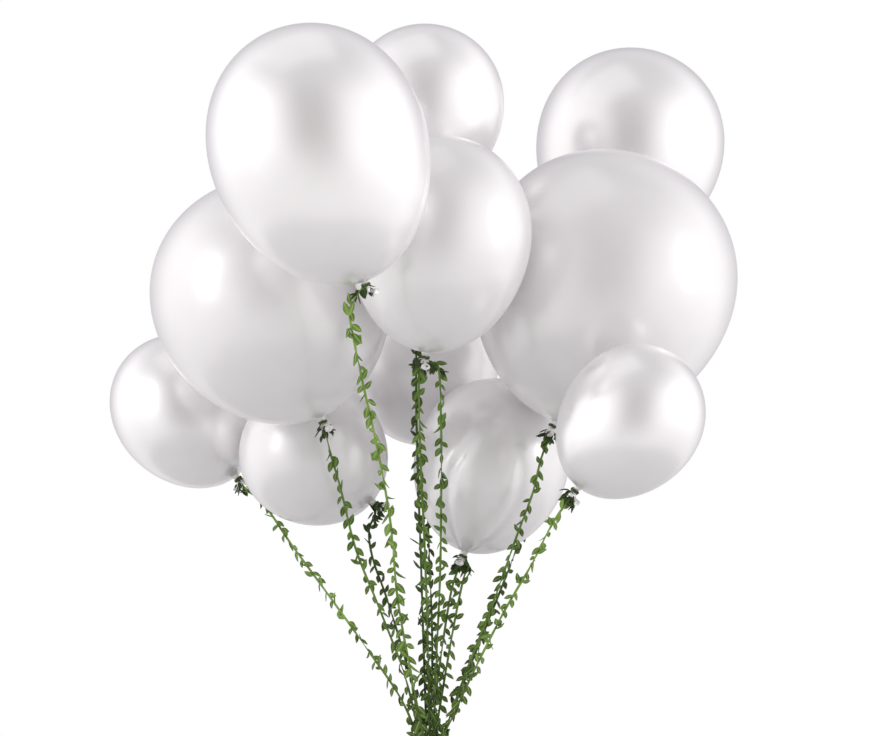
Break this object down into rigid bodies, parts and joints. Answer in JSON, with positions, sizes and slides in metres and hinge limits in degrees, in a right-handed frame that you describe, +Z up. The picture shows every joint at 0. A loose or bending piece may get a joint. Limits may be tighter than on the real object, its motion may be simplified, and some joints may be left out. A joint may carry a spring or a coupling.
{
  "type": "latex balloon bouquet",
  "caption": "Bouquet of pearl white helium-filled latex balloons, each knotted and tied to a taut leaf ribbon, with the ribbons bound together in one hand grip.",
  "frame": {"origin": "middle of the binding round the gathered ribbons, where a hand holds the bouquet", "axes": "+Z up, +X to the right seen from the front, +Y to the back"},
  "size_m": [1.1085, 1.2011, 1.3405],
  "materials": {
    "pearl_latex": "pearl white latex, satin to glossy, slightly translucent",
    "leaf_ribbon": "matte felt ribbon with cut leaves, mid green",
    "dark_leaf_ribbon": "matte felt ribbon with cut leaves, dark green",
    "binding_ribbon": "matte flat ribbon, wound and knotted, dark green"
  },
  "bodies": {
    "grip": {"ribbon_bundle": "leaf_ribbon", "binding": "binding_ribbon", "binding_knot": "binding_ribbon"},
    "string_upper_left": {"ribbon_upper_left": "leaf_ribbon"},
    "balloon_upper_left": {"envelope_upper_left": "pearl_latex", "neck_upper_left": "pearl_latex", "tie_upper_left": "dark_leaf_ribbon"},
    "string_top": {"ribbon_top": "leaf_ribbon"},
    "balloon_top": {"envelope_top": "pearl_latex", "neck_top": "pearl_latex", "tie_top": "dark_leaf_ribbon"},
    "string_upper_right": {"ribbon_upper_right": "leaf_ribbon"},
    "balloon_upper_right": {"envelope_upper_right": "pearl_latex", "neck_upper_right": "pearl_latex", "tie_upper_right": "dark_leaf_ribbon"},
    "string_middle": {"ribbon_middle": "leaf_ribbon", "ribbon_middle_second": "leaf_ribbon"},
    "balloon_middle": {"envelope_middle": "pearl_latex", "neck_middle": "pearl_latex", "tie_middle": "dark_leaf_ribbon"},
    "string_left": {"ribbon_left": "leaf_ribbon"},
    "balloon_left": {"envelope_left": "pearl_latex", "neck_left": "pearl_latex", "tie_left": "dark_leaf_ribbon"},
    "string_right": {"ribbon_right": "leaf_ribbon"},
    "balloon_right": {"envelope_right": "pearl_latex", "neck_right": "pearl_latex", "tie_right": "dark_leaf_ribbon"},
    "string_far_left": {"ribbon_far_left": "leaf_ribbon"},
    "balloon_far_left": {"envelope_far_left": "pearl_latex", "neck_far_left": "pearl_latex", "tie_far_left": "dark_leaf_ribbon"},
    "string_far_right": {"ribbon_far_right": "leaf_ribbon"},
    "balloon_far_right": {"envelope_far_right": "pearl_latex", "neck_far_right": "pearl_latex", "tie_far_right": "dark_leaf_ribbon"},
    "string_lower_left": {"ribbon_lower_left": "leaf_ribbon"},
    "balloon_lower_left": {"envelope_lower_left": "pearl_latex", "neck_lower_left": "pearl_latex", "tie_lower_left": "dark_leaf_ribbon"},
    "string_back": {"ribbon_back": "leaf_ribbon"},
    "balloon_back": {"envelope_back": "pearl_latex", "neck_back": "pearl_latex", "tie_back": "dark_leaf_ribbon"},
    "string_lower_middle": {"ribbon_lower_middle": "leaf_ribbon", "ribbon_lower_middle_second": "leaf_ribbon"},
    "balloon_lower_middle": {"envelope_lower_middle": "pearl_latex", "neck_lower_middle": "pearl_latex", "tie_lower_middle": "dark_leaf_ribbon"}
  },
  "joints": [
    {"name": "upper_left_sway", "type": "hinge", "parent": "grip", "child": "string_upper_left", "pos_m": [-0.0051, -0.0109, 0.017], "axis": [0.9659, -0.2588, 0], "range_deg": [0, 12], "stiffness_Nm_per_rad": 0.3, "springref_deg": -22.92},
    {"name": "upper_left_nod", "type": "hinge", "parent": "string_upper_left", "child": "balloon_upper_left", "pos_m": [-0.103, -0.43, 0.817], "axis": [0.9659, -0.2588, 0], "range_deg": [0, 14], "stiffness_Nm_per_rad": 0.08, "springref_deg": -17.19},
    {"name": "top_sway", "type": "hinge", "parent": "grip", "child": "string_top", "pos_m": [-0.0048, 0.0027, 0.017], "axis": [-0.866, -0.5, 0], "range_deg": [0, 12], "stiffness_Nm_per_rad": 0.3, "springref_deg": -22.92},
    {"name": "top_nod", "type": "hinge", "parent": "string_top", "child": "balloon_top", "pos_m": [-0.018, 0.04, 0.968], "axis": [-0.9659, -0.2588, 0], "range_deg": [0, 14], "stiffness_Nm_per_rad": 0.08, "springref_deg": -17.19},
    {"name": "upper_right_sway", "type": "hinge", "parent": "grip", "child": "string_upper_right", "pos_m": [0.0092, 0.0077, 0.017], "axis": [-0.7071, 0.7071, 0], "range_deg": [0, 12], "stiffness_Nm_per_rad": 0.3, "springref_deg": -22.92},
    {"name": "upper_right_nod", "type": "hinge", "parent": "string_upper_right", "child": "balloon_upper_right", "pos_m": [0.323, 0.322, 0.889], "axis": [-0.7071, 0.7071, 0], "range_deg": [0, 14], "stiffness_Nm_per_rad": 0.08, "springref_deg": -17.19},
    {"name": "middle_sway", "type": "hinge", "parent": "grip", "child": "string_middle", "pos_m": [0.0025, -0.0115, 0.017], "axis": [0.7071, 0.7071, 0], "range_deg": [0, 12], "stiffness_Nm_per_rad": 0.3, "springref_deg": -22.92},
    {"name": "middle_nod", "type": "hinge", "parent": "string_middle", "child": "balloon_middle", "pos_m": [-0.008, -0.19, 0.701], "axis": [0.7071, 0.7071, 0], "range_deg": [0, 14], "stiffness_Nm_per_rad": 0.08, "springref_deg": -17.19},
    {"name": "left_sway", "type": "hinge", "parent": "grip", "child": "string_left", "pos_m": [-0.012, 0, 0.017], "axis": [0, -1, 0], "range_deg": [0, 12], "stiffness_Nm_per_rad": 0.3, "springref_deg": -22.92},
    {"name": "left_nod", "type": "hinge", "parent": "string_left", "child": "balloon_left", "pos_m": [-0.184, -0.005, 0.59], "axis": [0, -1, 0], "range_deg": [0, 14], "stiffness_Nm_per_rad": 0.08, "springref_deg": -17.19},
    {"name": "right_sway", "type": "hinge", "parent": "grip", "child": "string_right", "pos_m": [0.012, 0.001, 0.017], "axis": [0, 1, 0], "range_deg": [0, 12], "stiffness_Nm_per_rad": 0.3, "springref_deg": -22.92},
    {"name": "right_nod", "type": "hinge", "parent": "string_right", "child": "balloon_right", "pos_m": [0.212, 0.028, 0.583], "axis": [0, 1, 0], "range_deg": [0, 14], "stiffness_Nm_per_rad": 0.08, "springref_deg": -17.19},
    {"name": "far_left_sway", "type": "hinge", "parent": "grip", "child": "string_far_left", "pos_m": [-0.0106, 0.0056, 0.017], "axis": [-0.7071, -0.7071, 0], "range_deg": [0, 12], "stiffness_Nm_per_rad": 0.3, "springref_deg": -22.92},
    {"name": "far_left_nod", "type": "hinge", "parent": "string_far_left", "child": "balloon_far_left", "pos_m": [-0.345, 0.315, 0.483], "axis": [-0.7071, -0.7071, 0], "range_deg": [0, 14], "stiffness_Nm_per_rad": 0.08, "springref_deg": -17.19},
    {"name": "far_right_sway", "type": "hinge", "parent": "grip", "child": "string_far_right", "pos_m": [0.0098, -0.0069, 0.017], "axis": [0.7071, 0.7071, 0], "range_deg": [0, 12], "stiffness_Nm_per_rad": 0.3, "springref_deg": -22.92},
    {"name": "far_right_nod", "type": "hinge", "parent": "string_far_right", "child": "balloon_far_right", "pos_m": [0.241, -0.24, 0.479], "axis": [0.7071, 0.7071, 0], "range_deg": [0, 14], "stiffness_Nm_per_rad": 0.08, "springref_deg": -17.19},
    {"name": "lower_left_sway", "type": "hinge", "parent": "grip", "child": "string_lower_left", "pos_m": [-0.0067, 0.0099, 0.017], "axis": [-0.866, 0.5, 0], "range_deg": [0, 4], "stiffness_Nm_per_rad": 0.3, "springref_deg": -22.92},
    {"name": "lower_left_nod", "type": "hinge", "parent": "string_lower_left", "child": "balloon_lower_left", "pos_m": [-0.096, 0.198, 0.441], "axis": [-0.866, 0.5, 0], "range_deg": [0, 14], "stiffness_Nm_per_rad": 0.08, "springref_deg": -17.19},
    {"name": "back_sway", "type": "hinge", "parent": "grip", "child": "string_back", "pos_m": [-0.0015, 0.0119, 0.017], "axis": [-1, 0, 0], "range_deg": [0, 12], "stiffness_Nm_per_rad": 0.3, "springref_deg": -22.92},
    {"name": "back_nod", "type": "hinge", "parent": "string_back", "child": "balloon_back", "pos_m": [-0.009, 0.358, 0.537], "axis": [-1, 0, 0], "range_deg": [0, 14], "stiffness_Nm_per_rad": 0.08, "springref_deg": -17.19},
    {"name": "lower_middle_sway", "type": "hinge", "parent": "grip", "child": "string_lower_middle", "pos_m": [0.004, 0.0076, 0.017], "axis": [0.7071, -0.7071, 0], "range_deg": [0, 4], "stiffness_Nm_per_rad": 0.3, "springref_deg": -22.92},
    {"name": "lower_middle_nod", "type": "hinge", "parent": "string_lower_middle", "child": "balloon_lower_middle", "pos_m": [0.058, 0.176, 0.351], "axis": [0.866, -0.5, 0], "range_deg": [0, 8], "stiffness_Nm_per_rad": 0.08, "springref_deg": -17.19}
  ]
}
